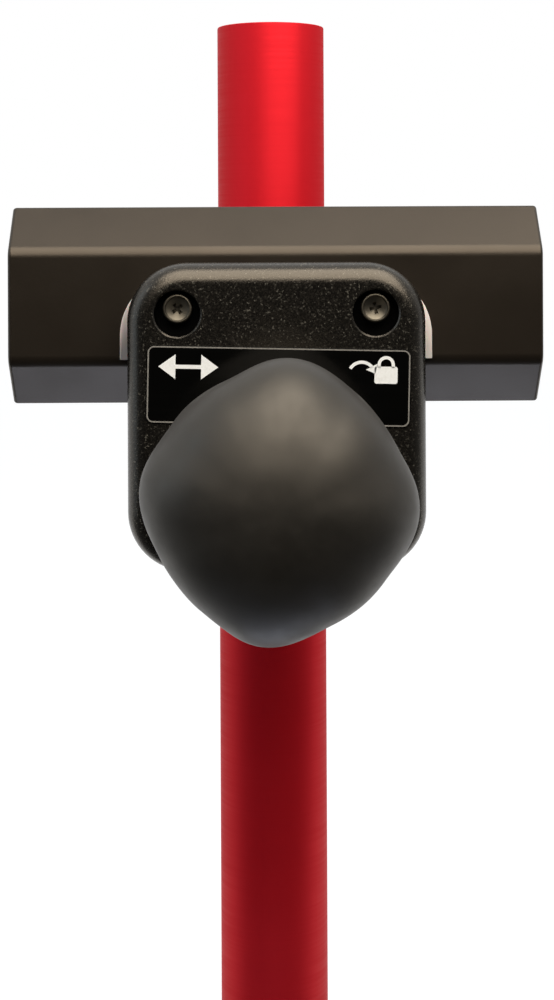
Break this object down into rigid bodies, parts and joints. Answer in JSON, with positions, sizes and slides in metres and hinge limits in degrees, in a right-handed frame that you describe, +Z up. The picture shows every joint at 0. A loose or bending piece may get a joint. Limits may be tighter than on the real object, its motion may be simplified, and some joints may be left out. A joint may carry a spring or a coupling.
{
  "type": "work stand clamp head",
  "caption": "Sliding-jaw clamp head on a tubular post. A lobed knob locks the telescoping front jaw, and a cam lever clamps the collar to the post.",
  "frame": {"origin": "on the post's axis at its lower end, which is also the lower end of the guide bush", "axes": "+Z up along the post; -Y is the front, where the knob faces; +X is to the right seen from the front; the jaws run along X"},
  "size_m": [0.13, 0.2739, 0.418],
  "materials": {
    "post_tube": "satin red anodised aluminium",
    "post_plug": "moulded black plastic",
    "post_foot_bush": "natural nylon",
    "collar_body": "black powder coat on cast aluminium",
    "collar_bush": "natural nylon",
    "arm_tube": "brushed",
    "arm_screws": "black oxide",
    "arm_mouth_ring": "natural nylon",
    "clamp_rod": "turned steel",
    "rod_nut": "black oxide, knurled",
    "cam_washer": "turned brass",
    "lever_pin": "ground steel",
    "cam_lever": "black powder coat",
    "rear_saddle": "black powder coat",
    "saddle_screw": "black oxide",
    "rear_jaw": "satin black powder coat",
    "rear_jaw_bolts": "black oxide",
    "rear_jaw_caps": "moulded black plastic",
    "rear_pad": "matt rubber",
    "rear_pad_screws": "black oxide",
    "slide_tube": "ground and anodised",
    "guide_key": "ground steel",
    "carriage_block": "black powder coat on cast aluminium",
    "tube_screw": "black oxide",
    "front_jaw": "satin black powder coat",
    "front_jaw_bolts": "black oxide",
    "front_jaw_caps": "moulded black plastic",
    "front_pad": "matt rubber",
    "front_pad_screws": "black oxide",
    "liner": "pale nylon",
    "cover": "fine textured black powder coat",
    "cover_screws": "black oxide",
    "lower_cover_screws": "black oxide",
    "label": "gloss film with white print",
    "spindle_bush": "turned bronze",
    "front_thrust_washer": "turned bronze",
    "rear_thrust_washer": "turned bronze",
    "stop_pins": "ground steel",
    "spindle": "turned steel",
    "spring_washer": "spring steel",
    "knob_core": "glass-filled nylon",
    "knob_grip": "soft-touch matt",
    "drive_pin": "ground steel",
    "wedge_nut": "turned bronze",
    "brake_shoe": "bronze"
  },
  "bodies": {
    "post": {"post_tube": "post_tube", "post_plug": "post_plug", "post_foot_bush": "post_foot_bush"},
    "head": {"collar_body": "collar_body", "collar_bush": "collar_bush", "arm_tube": "arm_tube", "arm_screws": "arm_screws", "arm_mouth_ring": "arm_mouth_ring", "clamp_rod": "clamp_rod", "rod_nut": "rod_nut", "cam_washer": "cam_washer", "lever_pin": "lever_pin", "rear_saddle": "rear_saddle", "saddle_screw": "saddle_screw", "rear_jaw": "rear_jaw", "rear_jaw_bolts": "rear_jaw_bolts", "rear_jaw_caps": "rear_jaw_caps", "rear_pad": "rear_pad", "rear_pad_screws": "rear_pad_screws"},
    "lever": {"cam_lever": "cam_lever"},
    "carriage": {"slide_tube": "slide_tube", "guide_key": "guide_key", "carriage_block": "carriage_block", "tube_screw": "tube_screw", "front_jaw": "front_jaw", "front_jaw_bolts": "front_jaw_bolts", "front_jaw_caps": "front_jaw_caps", "front_pad": "front_pad", "front_pad_screws": "front_pad_screws", "liner": "liner", "cover": "cover", "cover_screws": "cover_screws", "lower_cover_screws": "lower_cover_screws", "label": "label", "spindle_bush": "spindle_bush", "front_thrust_washer": "front_thrust_washer", "rear_thrust_washer": "rear_thrust_washer", "stop_pins": "stop_pins", "spring_washer": "spring_washer"},
    "knob": {"spindle": "spindle", "knob_core": "knob_core", "knob_grip": "knob_grip", "drive_pin": "drive_pin"},
    "wedge": {"wedge_nut": "wedge_nut"},
    "shoe": {"brake_shoe": "brake_shoe"}
  },
  "joints": [
    {"name": "head_height", "type": "slide", "parent": "post", "child": "head", "axis": [0, 0, 1], "range_m": [-0.19, 0.09]},
    {"name": "lever_swing", "type": "hinge", "parent": "head", "child": "lever", "pos_m": [0.0234, 0.034, 0.292], "axis": [0, 0, 1], "range_deg": [0, 120]},
    {"name": "jaw_slide", "type": "slide", "parent": "head", "child": "carriage", "axis": [0, 1, 0], "range_m": [-0.03, 0.025]},
    {"name": "knob_turn", "type": "hinge", "parent": "carriage", "child": "knob", "pos_m": [0, -0.174, 0.292], "axis": [0, 1, 0], "range_deg": [-45, 45]},
    {"name": "wedge_travel", "type": "slide", "parent": "carriage", "child": "wedge", "axis": [0, -1, 0], "range_m": [-0.00151, 0.00151]},
    {"name": "shoe_lift", "type": "slide", "parent": "carriage", "child": "shoe", "axis": [0, 0, 1], "range_m": [-0.000212, 0.000212]}
  ],
  "couplings": [
    {"joint": "wedge_travel", "follows": "knob_turn", "m_per_rad": 0.0019099},
    {"joint": "shoe_lift", "follows": "knob_turn", "m_per_rad": 0.00026841}
  ]
}
